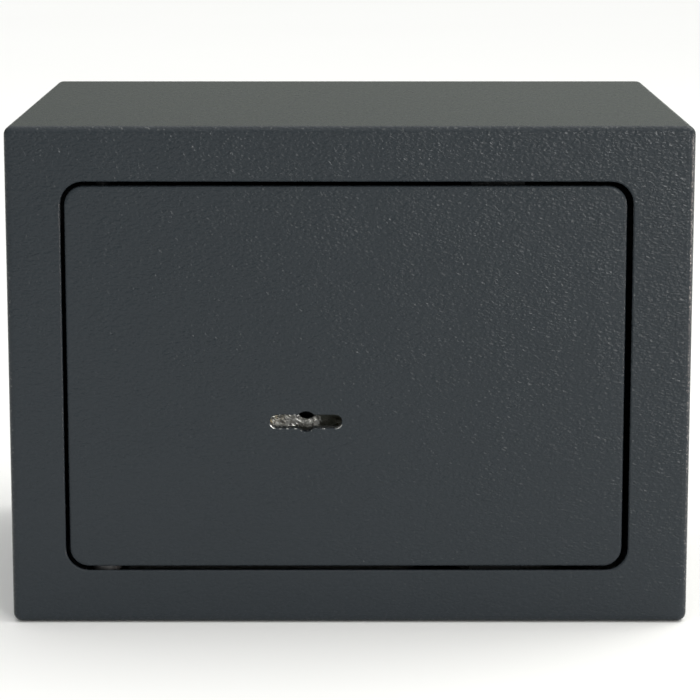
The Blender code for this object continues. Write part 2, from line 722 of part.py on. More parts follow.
def make_lock_case(mats, door):
    """A pan with ears: front plate with the keyhole, four walls and the cover's pillars."""
    left, right, low, high = case_box(CASE_WALL)
    outline = rounded(left - EAR, right + EAR, low, high, EAR_RADIUS)
    loops = [outline, keyhole_outline(CASE_KEYHOLE_PLAY), *stud_holes(case_stud_places())]
    case = make_piece("lock_case", extruded(loops, "XZ", ON_DOOR, CASE_BACK), mats["zinc"], door)
    root = CASE_BACK - WELD_OVERLAP
    wall_end = COVER_FRONT - GAP
    tube = [rounded(left, right, low, high, CASE_CORNER), rounded(*case_box(0), CASE_INNER_CORNER)]
    joined = [make_tool("case_walls", extruded(tube, "XZ", root, wall_end), door)]
    for i, place in enumerate(pillar_places()):
        profile = [(0, root), (PILLAR_RADIUS, root), (PILLAR_RADIUS, wall_end), (0, wall_end)]
        pillar = turned(profile, "Y", (place[0], 0, place[1]), SMALL_ROUND_STEPS)
        joined.append(make_tool(f"case_pillar_{i + 1}", pillar, door))
    combine(case, joined, "UNION")
    bores = []
    for i, (x, z) in enumerate(pillar_places()):
        centre = (x, wall_end, z)
        name = f"pillar_bore_{i + 1}"
        radius = SCREW_RADIUS + HOLE_PLAY
        bores.append(hole_tool(name, "Y", centre, radius, SCREW_GRIP + 1, door, SCREW_HOLE_STEPS))
    play = TAIL_SLOT_PLAY
    slot = [
        (LOCK_BOLT_FRONT - play, KEY_Z - TAIL_HALF - play),
        (LOCK_BOLT_BACK + play, KEY_Z - TAIL_HALF - play),
        (LOCK_BOLT_BACK + play, KEY_Z + TAIL_HALF + play),
        (LOCK_BOLT_FRONT - play, KEY_Z + TAIL_HALF + play),
    ]
    inside = KEY_X + CASE_RIGHT
    bores.append(make_tool("tail_slot", extruded([slot], "YZ", inside - 1, inside + CASE_WALL + 1), door))
    combine(case, bores, "DIFFERENCE")
    for i, place in enumerate(case_stud_places()):
        make_nut(f"case_nut_{i + 1}", place, CASE_BACK, mats, door)


def make_screw(name, axis_point, seat, radius, head_radius, head, length, mats, mount):
    """A slotted cheese-head screw along Y, driven from the inside of the safe."""
    x, z = axis_point
    edge = SCREW_EDGE
    profile = [
        (0, seat - length),
        (radius - edge, seat - length),
        (radius, seat - length + edge),
        (radius, seat),
        (head_radius, seat),
        (head_radius, seat + head - edge),
        (head_radius - edge, seat + head),
        (0, seat + head),
    ]
    screw = make_piece(name, turned(profile, "Y", (x, 0, z), SMALL_ROUND_STEPS), mats["steel"], mount)
    reach = head_radius + 1
    half = SCREW_SLOT / 2
    outline = [(x - reach, z - half), (x + reach, z - half), (x + reach, z + half), (x - reach, z + half)]
    slot = extruded([outline], "XZ", seat + head - SCREW_SLOT_DEPTH, seat + head + 1)
    combine(screw, [make_tool(f"{name}_slot", slot, mount)], "DIFFERENCE")


def make_lock_cover(mats, door):
    """The plate that closes the lock, with the hole that steadies the key's tip."""
    left, right, low, high = case_box(CASE_WALL)
    loops = [rounded(left, right, low, high, CASE_CORNER), circle((KEY_X, KEY_Z), KEY_STEM_RADIUS)]
    hole = (SCREW_RADIUS + HOLE_PLAY) / math.cos(math.pi / SCREW_HOLE_STEPS)
    loops += [circle(place, hole, SCREW_HOLE_STEPS) for place in pillar_places()]
    back = COVER_FRONT + COVER_SHEET
    make_piece("lock_cover", extruded(loops, "XZ", COVER_FRONT, back), mats["zinc"], door)
    for i, place in enumerate(pillar_places()):
        make_screw(
            f"cover_screw_{i + 1}",
            place,
            back + GAP,
            SCREW_RADIUS,
            SCREW_HEAD_RADIUS,
            SCREW_HEAD,
            COVER_SHEET + SCREW_GRIP,
            mats,
            door,
        )


def make_lever_posts(mats, door):
    for end, dz in zip(("upper", "lower"), POST_HEIGHTS):
        profile = [(0, CASE_BACK + GAP), (POST_RADIUS, CASE_BACK + GAP)]
        profile += [(POST_RADIUS, COVER_FRONT - GAP), (0, COVER_FRONT - GAP)]
        post = turned(profile, "Y", (KEY_X + POST_X, 0, KEY_Z + dz), SMALL_ROUND_STEPS)
        make_piece(f"lever_post_{end}", post, mats["steel"], door)


# ---------------------------------------------------------------- bolt work


def stump_outline(grow):
    right = KEY_X + LEVER_RIGHT - STUMP_FROM_LEVER_EDGE
    half = STUMP / 2 + grow
    return rounded(right - STUMP - grow, right + grow, KEY_Z - half, KEY_Z + half, STUMP_CORNER, 1)


def make_lock_bolt(mats, bolts):
    """The forked plate that the key drives, with the stump that the levers block."""
    top = CASE_HALF_HEIGHT - ARM_PLAY
    outline = [
        (-ARM_LEFT, TALON_HEIGHT),
        (TALON_RIGHT - TALON_WIDTH, TALON_HEIGHT),
        (TALON_RIGHT - TALON_WIDTH, KEY_SWEEP + NOTCH_PLAY),
        (TALON_RIGHT, KEY_SWEEP + NOTCH_PLAY),
        (TALON_RIGHT, TALON_HEIGHT),
        (FORK_ROOT, TALON_HEIGHT),
        (FORK_ROOT, LOWER_ARM_TOP),
        (-ARM_LEFT, LOWER_ARM_TOP),
        (-ARM_LEFT, -top),
        (ARM_RIGHT, -top),
        (ARM_RIGHT, -SHOULDER_HALF),
        (SHOULDER, -SHOULDER_HALF),
        (SHOULDER, -TAIL_HALF),
        (TAIL_END, -TAIL_HALF),
        (TAIL_END, TAIL_HALF),
        (SHOULDER, TAIL_HALF),
        (SHOULDER, SHOULDER_HALF),
        (ARM_RIGHT, SHOULDER_HALF),
        (ARM_RIGHT, top),
        (-ARM_LEFT, top),
    ]
    outline = [(KEY_X + u, KEY_Z + v) for u, v in outline]
    hole = (BAR_SCREW_RADIUS + HOLE_PLAY) / math.cos(math.pi / SMALL_ROUND_STEPS)
    loops = [outline, stump_outline(GAP)]
    loops += [circle((x, KEY_Z), hole, SMALL_ROUND_STEPS) for x in BAR_SCREWS]
    plate = extruded(loops, "XZ", LOCK_BOLT_FRONT, LOCK_BOLT_BACK)
    make_piece("lock_bolt", plate, mats["steel"], bolts)
    start = CASE_BACK + GAP
    end = COVER_FRONT - GAP
    make_piece("bolt_stump", extruded([stump_outline(0)], "XZ", start, end), mats["steel"], bolts)


def make_bolt_bar(mats, bolts):
    """The bent plate that joins both round bolts to the lock bolt's tail."""
    low = BOLT_HEIGHTS[1] - BAR_OVERHANG
    high = BOLT_HEIGHTS[0] + BAR_OVERHANG
    front = BOLT_AXIS_Y - BAR_FRONT_REACH
    hole = (RIVET_RADIUS + HOLE_PLAY) / math.cos(math.pi / ROUND_STEPS)
    loops = [[(front, low), (BAR_PLATE_BACK, low), (BAR_PLATE_BACK, high), (front, high)]]
    loops += [circle((BOLT_AXIS_Y, z), hole) for z in BOLT_HEIGHTS]
    bar = make_piece("bolt_bar", extruded(loops, "YZ", BAR_LEFT, BAR_RIGHT), mats["zinc"], bolts)
    tip = BAR_SCREWS[0] - LEAF_END
    neck = BAR_SCREWS[1] + BAR_SCREW_HEAD_RADIUS
    root = BAR_RIGHT - LEAF_INSET
    leaf_low = KEY_Z - LEAF_HALF
    leaf_high = BOLT_HEIGHTS[0] - RIVET_HEAD_RADIUS - LEAF_CLEAR
    neck_high = KEY_Z + LEAF_HALF
    outline = [(tip + LEAF_CORNER, leaf_low), (root, leaf_low), (root, leaf_high)]
    outline += [(root - LEAF_SLOPE, leaf_high), (neck, neck_high), (tip + LEAF_CORNER, neck_high)]
    outline += [(tip, neck_high - LEAF_CORNER), (tip, leaf_low + LEAF_CORNER)]
    radius = (BAR_SCREW_RADIUS + HOLE_PLAY) / math.cos(math.pi / SMALL_ROUND_STEPS)
    holes = [circle((x, KEY_Z), radius, SMALL_ROUND_STEPS) for x in BAR_SCREWS]
    leaf_back = BAR_PLATE_BACK - LEAF_STEP
    leaf = make_tool("bolt_bar_leaf", extruded([outline, *holes], "XZ", BAR_PLATE_FRONT, leaf_back), bolts)
    combine(bar, [leaf], "UNION")
    for i, x in enumerate(BAR_SCREWS):
        make_screw(
            f"bar_screw_{i + 1}",
            (x, KEY_Z),
            BAR_PLATE_BACK + GAP,
            BAR_SCREW_RADIUS,
            BAR_SCREW_HEAD_RADIUS,
            BAR_SCREW_HEAD,
            BAR_SHEET + GAP + LOCK_BOLT_SHEET,
            mats,
            bolts,
        )


def make_round_bolts(mats, bolts):
    """Two turned bolts, each riveted through the bar by its own spigot."""
    head = BAR_LEFT - GAP
    shoulder = BOLT_CHAMFER * ARC_MIDDLE
    for end, z in zip(("upper", "lower"), BOLT_HEIGHTS):
        profile = [
            (0, head - RIVET_HEAD),
            (RIVET_HEAD_RADIUS - RIVET_DOME, head - RIVET_HEAD),
            (RIVET_HEAD_RADIUS, head - RIVET_RIM),
            (RIVET_HEAD_RADIUS, head),
            (RIVET_RADIUS, head),
            (RIVET_RADIUS, BOLT_BASE),
            (BOLT_RADIUS - BOLT_BASE_EDGE, BOLT_BASE),
            (BOLT_RADIUS, BOLT_BASE + BOLT_BASE_EDGE),
            (BOLT_RADIUS, BOLT_TIP - BOLT_CHAMFER),
            (BOLT_RADIUS - shoulder, BOLT_TIP - shoulder),
            (BOLT_RADIUS - BOLT_CHAMFER, BOLT_TIP),
            (0, BOLT_TIP),
        ]
        make_piece(f"locking_bolt_{end}", turned(profile, "X", (0, BOLT_AXIS_Y, z)), mats["chrome"], bolts)


# ---------------------------------------------------------------- levers


def lever_front(index):
    """Front face of a lever. The first ones lie in front of the lock bolt and the rest behind it."""
    if index < FRONT_LEVERS:
        return FIRST_LEVER + index * LEVER_PITCH
    return LOCK_BOLT_BACK + LEVER_GAP + (index - FRONT_LEVERS) * LEVER_PITCH


def lever_side(index):
    """1 for a lever whose spring is above it and -1 for one whose spring is below it."""
    return 1 if index % 2 == 0 else -1


def gate_play(index):
    """Half of the play in a gate: the lever sinks a little before the stump has left the gate."""
    share = (STUMP + STUMP_FROM_LEVER_EDGE) / BOLT_THROW
    return LEVER_DROPS[index] * share + GATE_SPARE


def lever_outline(index):
    half = STUMP / 2 + gate_play(index)
    gate_left = LEVER_RIGHT - GATE_DEPTH
    corner = LEVER_CORNER
    outline = arc((LEVER_RIGHT - corner, LEVER_HALF - corner), corner, 0, 90, 3)
    outline += arc((-LEVER_LEFT + corner, LEVER_HALF - corner), corner, 90, 180, 3)
    outline += arc((-LEVER_LEFT + corner, -LEVER_HALF + corner), corner, 180, 270, 3)
    outline += arc((LEVER_RIGHT - corner, -LEVER_HALF + corner), corner, 270, 360, 3)
    outline += [(LEVER_RIGHT, -half), (gate_left, -half), (gate_left, half), (LEVER_RIGHT, half)]
    return [(KEY_X + u, KEY_Z + v) for u, v in outline]


def lever_window(index):
    """The hole that the bits turn in, round with a flat above and below where the bits lift the lever."""
    above, below = WINDOW_FLATS[index]
    upper = math.degrees(math.asin(above / KEY_SWEEP))
    lower = math.degrees(math.asin(below / KEY_SWEEP))
    points = arc((KEY_X, KEY_Z), KEY_SWEEP, -lower, upper, 8)
    points += arc((KEY_X, KEY_Z), KEY_SWEEP, 180 - upper, 180 + lower, 8)
    return points


def make_lever(index, mats, door):
    front = lever_front(index)
    loops = [lever_outline(index), lever_window(index)]
    for dz in POST_HEIGHTS:
        centre = (KEY_X + POST_X, KEY_Z + dz)
        length = 2 * (POST_RADIUS + SLOT_PLAY + SLOT_TRAVEL)
        loops.append(slot_outline(centre, length, 2 * (POST_RADIUS + SLOT_PLAY), upright=True))
    origin = (KEY_X, front, KEY_Z)
    lever = extruded(loops, "XZ", front, front + LEVER_SHEET)
    make_piece(f"lever_{index + 1}", lever, mats["brass"], door, origin)
    side = lever_side(index)
    base = LEVER_HALF + GAP
    tip = base + SPRING_RISE
    left = -SPRING_REACH / 2
    strip = [
        (left, base),
        (left + SPRING_FOOT, base),
        (left + SPRING_REACH, tip),
        (left + SPRING_REACH, tip + SPRING_THICKNESS),
        (left + SPRING_FOOT, base + SPRING_THICKNESS),
        (left, base + SPRING_THICKNESS),
    ]
    outline = [(KEY_X + u, KEY_Z + side * v) for u, v in strip]
    start = front + (LEVER_SHEET - SPRING_WIDTH) / 2
    spring = extruded([outline], "XZ", start, start + SPRING_WIDTH)
    make_piece(f"lever_spring_{index + 1}", spring, mats["spring"], door, origin)


# ---------------------------------------------------------------- assembly


def main():
    for existing in list(bpy.data.objects):
        bpy.data.objects.remove(existing)
    mats = {
        "paint": make_material("dark_grey_powder_coat", (0.046, 0.052, 0.058), 0.45, 0.0),
        "zinc": make_material("zinc_plated_steel", (0.50, 0.51, 0.52), 0.38, 1.0),
        "steel": make_material("bright_steel", (0.56, 0.56, 0.55), 0.30, 1.0),
        "chrome": make_material("nickel_plated_steel", (0.66, 0.65, 0.62), 0.16, 1.0),
        "brass": make_material("brass", (0.72, 0.52, 0.22), 0.30, 1.0),
        "spring": make_material("spring_steel", (0.36, 0.37, 0.40), 0.30, 1.0),
        "nylon": make_material("black_nylon", (0.030, 0.030, 0.032), 0.45, 0.0),
        "felt": make_material("grey_felt", (0.10, 0.105, 0.11), 0.95, 0.0),
    }
    body = make_mount("body", (0, 0, 0))
    door = make_mount("door_swing", (*HINGE, DOOR_CENTRE[1]))
    bolts = make_mount("bolt_slide", (KEY_X, BOLT_AXIS_Y, KEY_Z))
    make_body(mats, body)
    make_rear_panel(mats, body)
    make_hinge(mats, body, door)
    make_door_stop("door_stop_upper", OPENING[3], DOOR[3], 1, mats, body)
    make_door_stop("door_stop_lower", OPENING[2], DOOR[2], -1, mats, body)
    make_strike(mats, body)
    make_mat(mats, body)
    make_door_plate(mats, door)
    make_guide(mats, door)
    make_lock_case(mats, door)
    make_lock_cover(mats, door)
    make_lever_posts(mats, door)
    make_lock_bolt(mats, bolts)
    make_bolt_bar(mats, bolts)
    make_round_bolts(mats, bolts)
    for index in range(FRONT_LEVERS + REAR_LEVERS):
        make_lever(index, mats, door)
    bpy.context.view_layer.update()
    world = bolts.matrix_world.copy()
    bolts.parent = door
    bolts.matrix_world = world


main()
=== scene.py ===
"""The looks of a small dark grey key safe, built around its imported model."""

import json
import math

import bmesh
import bpy
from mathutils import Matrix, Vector, noise


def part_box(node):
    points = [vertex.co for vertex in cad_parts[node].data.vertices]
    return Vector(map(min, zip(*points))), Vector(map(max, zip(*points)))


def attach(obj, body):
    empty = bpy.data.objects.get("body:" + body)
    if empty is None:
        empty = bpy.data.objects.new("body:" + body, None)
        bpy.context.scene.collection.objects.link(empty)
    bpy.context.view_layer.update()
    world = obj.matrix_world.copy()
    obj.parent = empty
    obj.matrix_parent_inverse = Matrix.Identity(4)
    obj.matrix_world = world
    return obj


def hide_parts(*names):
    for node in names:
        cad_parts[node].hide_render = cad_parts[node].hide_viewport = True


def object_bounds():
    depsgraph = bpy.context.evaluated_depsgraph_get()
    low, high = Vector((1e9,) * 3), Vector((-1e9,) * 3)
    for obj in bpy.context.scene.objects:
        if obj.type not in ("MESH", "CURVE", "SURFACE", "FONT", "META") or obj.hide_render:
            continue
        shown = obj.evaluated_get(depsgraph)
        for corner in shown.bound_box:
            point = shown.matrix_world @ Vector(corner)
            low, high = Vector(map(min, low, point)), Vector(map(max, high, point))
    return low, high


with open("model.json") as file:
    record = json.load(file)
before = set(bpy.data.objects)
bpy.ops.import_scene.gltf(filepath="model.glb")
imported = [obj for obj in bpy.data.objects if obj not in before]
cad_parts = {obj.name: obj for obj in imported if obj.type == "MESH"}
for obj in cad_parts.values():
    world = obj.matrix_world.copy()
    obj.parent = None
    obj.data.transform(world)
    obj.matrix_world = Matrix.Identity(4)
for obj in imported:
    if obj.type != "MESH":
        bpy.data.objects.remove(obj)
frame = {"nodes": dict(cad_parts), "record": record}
cad_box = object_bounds()
NODES = frame["nodes"]
OPENINGS = {
    entry["name"]: [Vector(corner) for corner in entry["box_m"]]
    for entry in frame["record"]["physics"]["openings"]
}
SCENE = bpy.context.scene
MM = 0.001

# Camera
CAMERA_X = 0.0001
CAMERA_DISTANCE = 0.9115  # in front of the door
CAMERA_HEIGHT = 0.265
CAMERA_TILT = 9.86  # degrees down
CAMERA_LENS = 142.0
CAMERA_SENSOR = 36.0
CAMERA_SHIFT = -0.05
CAMERA_NEAR = 0.05

# Surroundings
WHITE = (1.0, 1.0, 1.0, 1.0)
FLOOR_DARK = (0.92, 0.92, 0.92)
FLOOR_LIGHT = (0.94, 0.94, 0.94)
FLOOR_REACH = 15.0  # from the safe to the floor's edges
FLOOR_BELOW = 0.2 * MM
DOME = (  # height on the unit sphere, and the light from there
    (0.0, (0.22, 0.23, 0.20)),
    (0.25, (0.28, 0.30, 0.255)),
    (0.6, (0.97, 0.97, 0.96)),
    (1.0, (1.50, 1.50, 1.48)),
)
DOME_LEFT = 0.70  # the dome's strength on the left and on the right
DOME_RIGHT = 1.30
DOME_TURN = 0.3  # where it reaches them, along X on the unit sphere
LIGHTS = {
    "overhead": {
        "place": (0.95, 0.30, 1.25),
        "aim": (0.05, 0.0, 0.17),
        "size": (1.2, 1.1),
        "power": 8.0,
        "colour": (1.0, 1.0, 0.92),
    },
    "key": {  # small and far off, so that it shines through the keyhole onto the lock's cover
        "place": (1.215, -3.24, 0.72),
        "aim": (-0.015, -0.08, 0.07),
        "size": (0.30, 0.30),
        "power": 40.0,
        "colour": (1.0, 0.99, 0.97),
    },
    "side": {  # lower than the top, so that the top doesn't mirror it
        "place": (1.4, -0.17, 0.08),
        "aim": (0.11, -0.08, 0.08),
        "size": (0.30, 0.13),
        "power": 9.0,
        "colour": (1.0, 0.86, 0.78),
    },
}

# Powder coat. A texture's scale is its number of features in a metre.
PAINT_LIGHT = (0.0228, 0.0285, 0.0341)
PAINT_DARK = (0.0196, 0.0247, 0.0295)
PAINT_SPECULAR = 0.20
# lighter specks of the coat: painted sparkle, standing in for its glints
PAINTED_SPARKLE = (0.055, 0.062, 0.068)
PAINT_CHIP = (0.10, 0.105, 0.105)
# Near black: painted shade for the parts that show in the door's gaps
SHADE_COAT_LIGHT = (0.006, 0.0065, 0.007)
SHADE_COAT_DARK = (0.0035, 0.0038, 0.0042)
SHADE_COAT_SPECULAR = 0.05
CLOUD_SCALE = 9.0
SPARKLE_SCALE = 3200.0
CHIP_SCALE = 700.0
CHIP_NEAR = 1.6 * MM  # from a fold's two faces, where the chips begin
CHIP_ON = 0.9 * MM
WRINKLE_SCALE = 940.0
WRINKLE_STRETCH = (0.72, 1.0, 1.15)  # longer level than upright
WRINKLE_DEPTH = 0.29 * MM
PEBBLE_SCALE = 1150.0
PATCH_SCALE = 70.0
SAG_SCALE = 45.0
SAG_DEPTH = 0.35 * MM

# The door's keyhole, and the wear of its rim
KEYHOLE_WIDTH = 24.4 * MM
KEYHOLE_HEIGHT = 4.6 * MM
KEYHOLE_ROUND = 3.5 * MM  # the radius of its wider middle
WEAR_OUTER = 0.34 * MM  # from the keyhole's edge, where the wear begins
WEAR_INNER = 0.22 * MM
SCRATCH_SCALE = 1100.0
BARE_DARK = (0.50, 0.50, 0.49)
BARE_LIGHT = (0.72, 0.72, 0.70)

# Metals, as their low and high colours
ZINC = ((0.36, 0.37, 0.38), (0.47, 0.48, 0.49))
ZINC_DULL = (0.33, 0.33, 0.31)
HOT_ZINC = ((0.30, 0.30, 0.28), (0.56, 0.56, 0.55))
DRAWN_STEEL = ((0.36, 0.36, 0.35), (0.48, 0.48, 0.47))
NICKEL = ((0.35, 0.34, 0.32), (0.47, 0.46, 0.44))
BRASS = ((0.30, 0.24, 0.15), (0.50, 0.41, 0.25))
SPRING_STEEL = ((0.16, 0.19, 0.27), (0.30, 0.27, 0.25))

# Soft and moulded
# black nylon, kept near black as painted shade where the hinge washer shows in the door's gap
NYLON_AS_SHADE = ((0.022, 0.022, 0.024), (0.036, 0.036, 0.038))
FELT = ((0.038, 0.040, 0.044), (0.135, 0.141, 0.150))
LINT = (0.36, 0.36, 0.37)

# Felt mat
MAT_VOXEL = 1.5 * MM
MAT_FUZZ = 0.22 * MM  # how far its surface strays, over a few millimetres
MAT_SWAY = 0.25 * MM  # and over a few centimetres

# Welds of the rear panel
WELD_RADIUS = 0.6 * MM
WELD_SIDES = 10
WELD_STEP = 0.35 * MM
WELD_LENGTH = 9.0 * MM
WELD_WANDER = 1.5 * MM
WELD_INSET = 1.85 * MM  # from the wall's outside to the bead's middle
WELD_SUNK = 0.03 * MM  # below the walls' rear edge
WELDS_WIDE = (0.08, 0.36, 0.64, 0.92)  # shares of the width
WELDS_TALL = (0.12, 0.5, 0.88)  # shares of the height

# The lock
LEVERS = 7

# Mesh clean-up
WELD_DISTANCE = 1e-6
SHARP_ANGLE = math.radians(32.0)


# ---------------------------------------------------------------- shader graphs


class Nodes:
    """A node tree, with short names for the nodes that are used below."""

    MIX_COLOURS = (6, 7)  # a Mix node's two colour inputs
    MIX_RESULT = 2  # and its colour output

    def __init__(self, tree):
        self.tree = tree

    def add(self, kind, values=(), **settings):
        node = self.tree.nodes.new("ShaderNode" + kind)
        for key, value in settings.items():
            setattr(node, key, value)
        for key, value in dict(values).items():
            self.feed(node.inputs[key], value)
        return node

    def feed(self, socket, value):
        if isinstance(value, bpy.types.NodeSocket):
            self.tree.links.new(value, socket)
        else:
            socket.default_value = value

    def split(self, vector):
        """A vector's X, Y and Z."""
        return self.add("SeparateXYZ", {"Vector": vector}).outputs.values()

    def spread(self, value, low, high, to_low=0.0, to_high=1.0):
        """A value's range from low to high, stretched to another range and clamped."""
        values = {"Value": value, "From Min": low, "From Max": high, "To Min": to_low, "To Max": to_high}
        return self.add("MapRange", values).outputs["Result"]


class Graph(Nodes):
    """A material's node tree."""

    def __init__(self, name, metallic=0.0):
        self.material = bpy.data.materials.new(name)
        self.material.use_nodes = True
        super().__init__(self.material.node_tree)
        self.shader = self.tree.nodes["Principled BSDF"]
        self.shader.inputs["Metallic"].default_value = metallic
        self.place = self.add("TexCoord").outputs["Object"]

    def set(self, values):
        """Feeds the shader's own sockets, and returns the material."""
        for name, value in values.items():
            self.feed(self.shader.inputs[name], value)
        return self.material

    def stretched(self, x, y, z):
        """Object coordinates, scaled along each axis."""
        return self.add("Mapping", {"Vector": self.place, "Scale": (x, y, z)}).outputs["Vector"]

    def noise(self, scale, detail=2.0, roughness=0.5, distortion=0.0, vector=None):
        values = {
            "Vector": vector or self.place,
            "Scale": scale,
            "Detail": detail,
            "Roughness": roughness,
            "Distortion": distortion,
        }
        return self.add("TexNoise", values).outputs["Fac"]

    def pebbles(self, scale, vector):
        """Round soft cells, as the distance from their middles."""
        values = {"Vector": vector, "Scale": scale}
        return self.add("TexVoronoi", values, feature="SMOOTH_F1").outputs["Distance"]

    def crystals(self, scale):
        """Flat cells, each with its own value."""
        colour = self.add("TexVoronoi", {"Vector": self.place, "Scale": scale}).outputs["Color"]
        return self.add("SeparateColor", {"Color": colour}).outputs[0]

    def math(self, operation, a, b=0.0, clamp=False):
        return self.add("Math", {0: a, 1: b}, operation=operation, use_clamp=clamp).outputs[0]

    def plus(self, a, b):
        return self.math("ADD", a, b)

    def minus(self, a, b):
        return self.math("SUBTRACT", a, b)

    def times(self, a, b):
        return self.math("MULTIPLY", a, b)

    def higher(self, a, b):
        return self.math("MAXIMUM", a, b)

    def length(self, a, b):
        """The length of a flat vector."""
        return self.math("SQRT", self.plus(self.times(a, a), self.times(b, b)))

    def blend(self, share, a, b):
        """From colour a to colour b."""
        node = self.add("Mix", data_type="RGBA")
        self.feed(node.inputs["Factor"], share)
        for socket, value in zip(self.MIX_COLOURS, (a, b)):
            self.feed(node.inputs[socket], (*value, 1.0) if isinstance(value, tuple) else value)
        return node.outputs[self.MIX_RESULT]

    def bump(self, height, depth, strength=1.0, normal=None):
        values = {"Height": height, "Distance": depth, "Strength": strength}
        if normal:
            values["Normal"] = normal
        return self.add("Bump", values).outputs["Normal"]


def edge_chips(g):
    """Specks along the body's outer folds, where the coat is knocked and thin."""
    low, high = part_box("body_shell")
    x, y, z = g.split(g.place)
    side = g.spread(g.math("ABSOLUTE", x), high.x - CHIP_NEAR, high.x - CHIP_ON)
    front = g.spread(y, low.y + CHIP_NEAR, low.y + CHIP_ON)
    top = g.spread(z, high.z - CHIP_NEAR, high.z - CHIP_ON)
    fold = g.higher(g.times(side, front), g.times(front, top))
    fold = g.higher(fold, g.times(side, top))
    return g.times(fold, g.spread(g.noise(CHIP_SCALE, 2.0, 0.6), 0.60, 0.68))


def coat(name, light, dark, specular, wrinkle_depth):
    """A leathery powder coat, deeper in some patches and towards the safe's upper right.

    Returns its graph, colour and roughness, so that wear can be laid over them.
    """
    g = Graph(name)
    tone = g.blend(g.noise(CLOUD_SCALE), dark, light)
    # Lighter specks over the coat: painted sparkle in place of glints.
    sparkle = g.spread(g.noise(SPARKLE_SCALE, 2.0, 0.7), 0.70, 0.80)
    tone = g.blend(g.times(sparkle, 0.5), tone, PAINTED_SPARKLE)
    tone = g.blend(edge_chips(g), tone, PAINT_CHIP)
    level = g.stretched(*WRINKLE_STRETCH)
    wrinkle = g.noise(WRINKLE_SCALE, 2.0, 0.5, 0.7, level)
    height = g.plus(wrinkle, g.times(g.pebbles(PEBBLE_SCALE, level), 0.5))
    patch = g.spread(g.noise(PATCH_SCALE, 3.0, 0.6), 0.32, 0.66, 0.6, 1.1)
    x, _, z = g.split(g.place)
    up_right = g.plus(g.times(x, 0.35), g.times(z, 0.9))
    share = g.times(patch, g.spread(up_right, 0.0, 0.13, 0.40, 1.0))
    sag = g.bump(g.noise(SAG_SCALE, 1.0), SAG_DEPTH, 0.5)
    rough = g.spread(wrinkle, 0.35, 0.65, 0.30, 0.20)
    g.set({
        "Base Color": tone,
        "Roughness": rough,
        "Specular IOR Level": specular,
        "Normal": g.bump(g.times(height, share), wrinkle_depth, 1.0, sag),
    })
    return g, tone, rough


def powder_coat():
    g, _, _ = coat("powder_coat_dark_grey", PAINT_LIGHT, PAINT_DARK, PAINT_SPECULAR, WRINKLE_DEPTH)
    return g.material


def near_black_shade_coat():
    """A near-black coat on the hinge parts, door stops and strike: painted shade, so that what shows in
    the door's gaps reads as shadow.
    """
    g, _, _ = coat("near_black_shade_coat", SHADE_COAT_LIGHT, SHADE_COAT_DARK, SHADE_COAT_SPECULAR, 0.5 * WRINKLE_DEPTH)
    return g.material


def keyhole_wear(g):
    """How bare the door is, round the lower rim of its keyhole: at both ends, and in specks between."""
    low, high = OPENINGS["keyhole"]
    middle = (low + high) / 2
    half_height = KEYHOLE_HEIGHT / 2
    half_line = KEYHOLE_WIDTH / 2 - half_height
    x, _, z = g.split(g.place)
    along = g.math("ABSOLUTE", g.minus(x, middle.x))
    above = g.minus(z, middle.z)
    past_line = g.higher(g.minus(along, half_line), 0.0)
    from_slot = g.minus(g.length(past_line, above), half_height)
    from_round = g.minus(g.length(along, above), KEYHOLE_ROUND)
    near_edge = g.spread(g.math("MINIMUM", from_slot, from_round), WEAR_OUTER, WEAR_INNER)
    at_ends = g.spread(along, half_line + 0.4 * MM, half_line + 1.1 * MM)
    underneath = g.spread(above, -0.9 * MM, -1.5 * MM)
    scratched = g.spread(g.noise(SCRATCH_SCALE, 3.0, 0.7), 0.57, 0.62)
    return g.times(near_edge, g.times(underneath, g.higher(at_ends, scratched)))


def door_coat():
    """The powder coat, worn to bare steel round the keyhole's rim."""
    g, tone, rough = coat("powder_coat_door", PAINT_LIGHT, PAINT_DARK, PAINT_SPECULAR, WRINKLE_DEPTH)
    worn = keyhole_wear(g)
    steel = g.blend(g.noise(2500.0), BARE_DARK, BARE_LIGHT)
    return g.set({
        "Base Color": g.blend(worn, tone, steel),
        "Metallic": worn,
        "Roughness": g.plus(g.times(worn, 0.05), rough),
    })


def zinc_plate():
    """Bright zinc on cold-rolled sheet: fine rolling lines, a faint spangle and dull patches."""
    g = Graph("zinc_plated_sheet", metallic=1.0)
    lines = g.noise(260.0, 3.0, 0.6, 0.0, g.stretched(1.0, 1.0, 14.0))
    spangle = g.crystals(420.0)
    patch = g.noise(70.0, 3.0, 0.6)
    rough = g.plus(g.spread(patch, 0.3, 0.7, 0.26, 0.44), g.times(lines, 0.08))
    height = g.plus(g.times(lines, 0.6), g.times(spangle, 0.35))
    return g.set({
        "Base Color": g.blend(g.spread(patch, 0.45, 0.70), g.blend(spangle, *ZINC), ZINC_DULL),
        "Roughness": rough,
        "Normal": g.bump(height, 0.02 * MM, 0.7),
    })


def rough_zinc():
    """Hot-dipped zinc, as on the lock's case: coarse mottled crystals with dull hollows between."""
    g = Graph("hot_dipped_zinc", metallic=1.0)
    lump = g.noise(520.0, 3.0, 0.6, 1.0)
    crystal = g.crystals(900.0)
    height = g.plus(lump, g.times(crystal, 0.12))
    return g.set({
        "Base Color": g.blend(g.spread(lump, 0.35, 0.65), *HOT_ZINC),
        "Roughness": g.spread(g.plus(lump, g.times(crystal, 0.3)), 0.4, 0.9, 0.50, 0.26),
        "Normal": g.bump(height, 0.45 * MM, 1.0),
    })


def turned_steel(name, stretch, tones, rough):
    """Machined metal: fine tool lines that run along the least stretched axes, and smudges."""
    g = Graph(name, metallic=1.0)
    lines = g.noise(60.0, 3.0, 0.7, 0.0, g.stretched(*stretch))
    smudge = g.noise(180.0, 3.0, 0.6)
    low, high = tones
    return g.set({
        "Base Color": g.blend(g.spread(smudge, 0.35, 0.7), high, low),
        "Roughness": g.plus(g.spread(smudge, 0.3, 0.7, rough, rough + 0.12), g.times(lines, 0.08)),
        "Normal": g.bump(lines, 0.02 * MM, 0.5),
    })


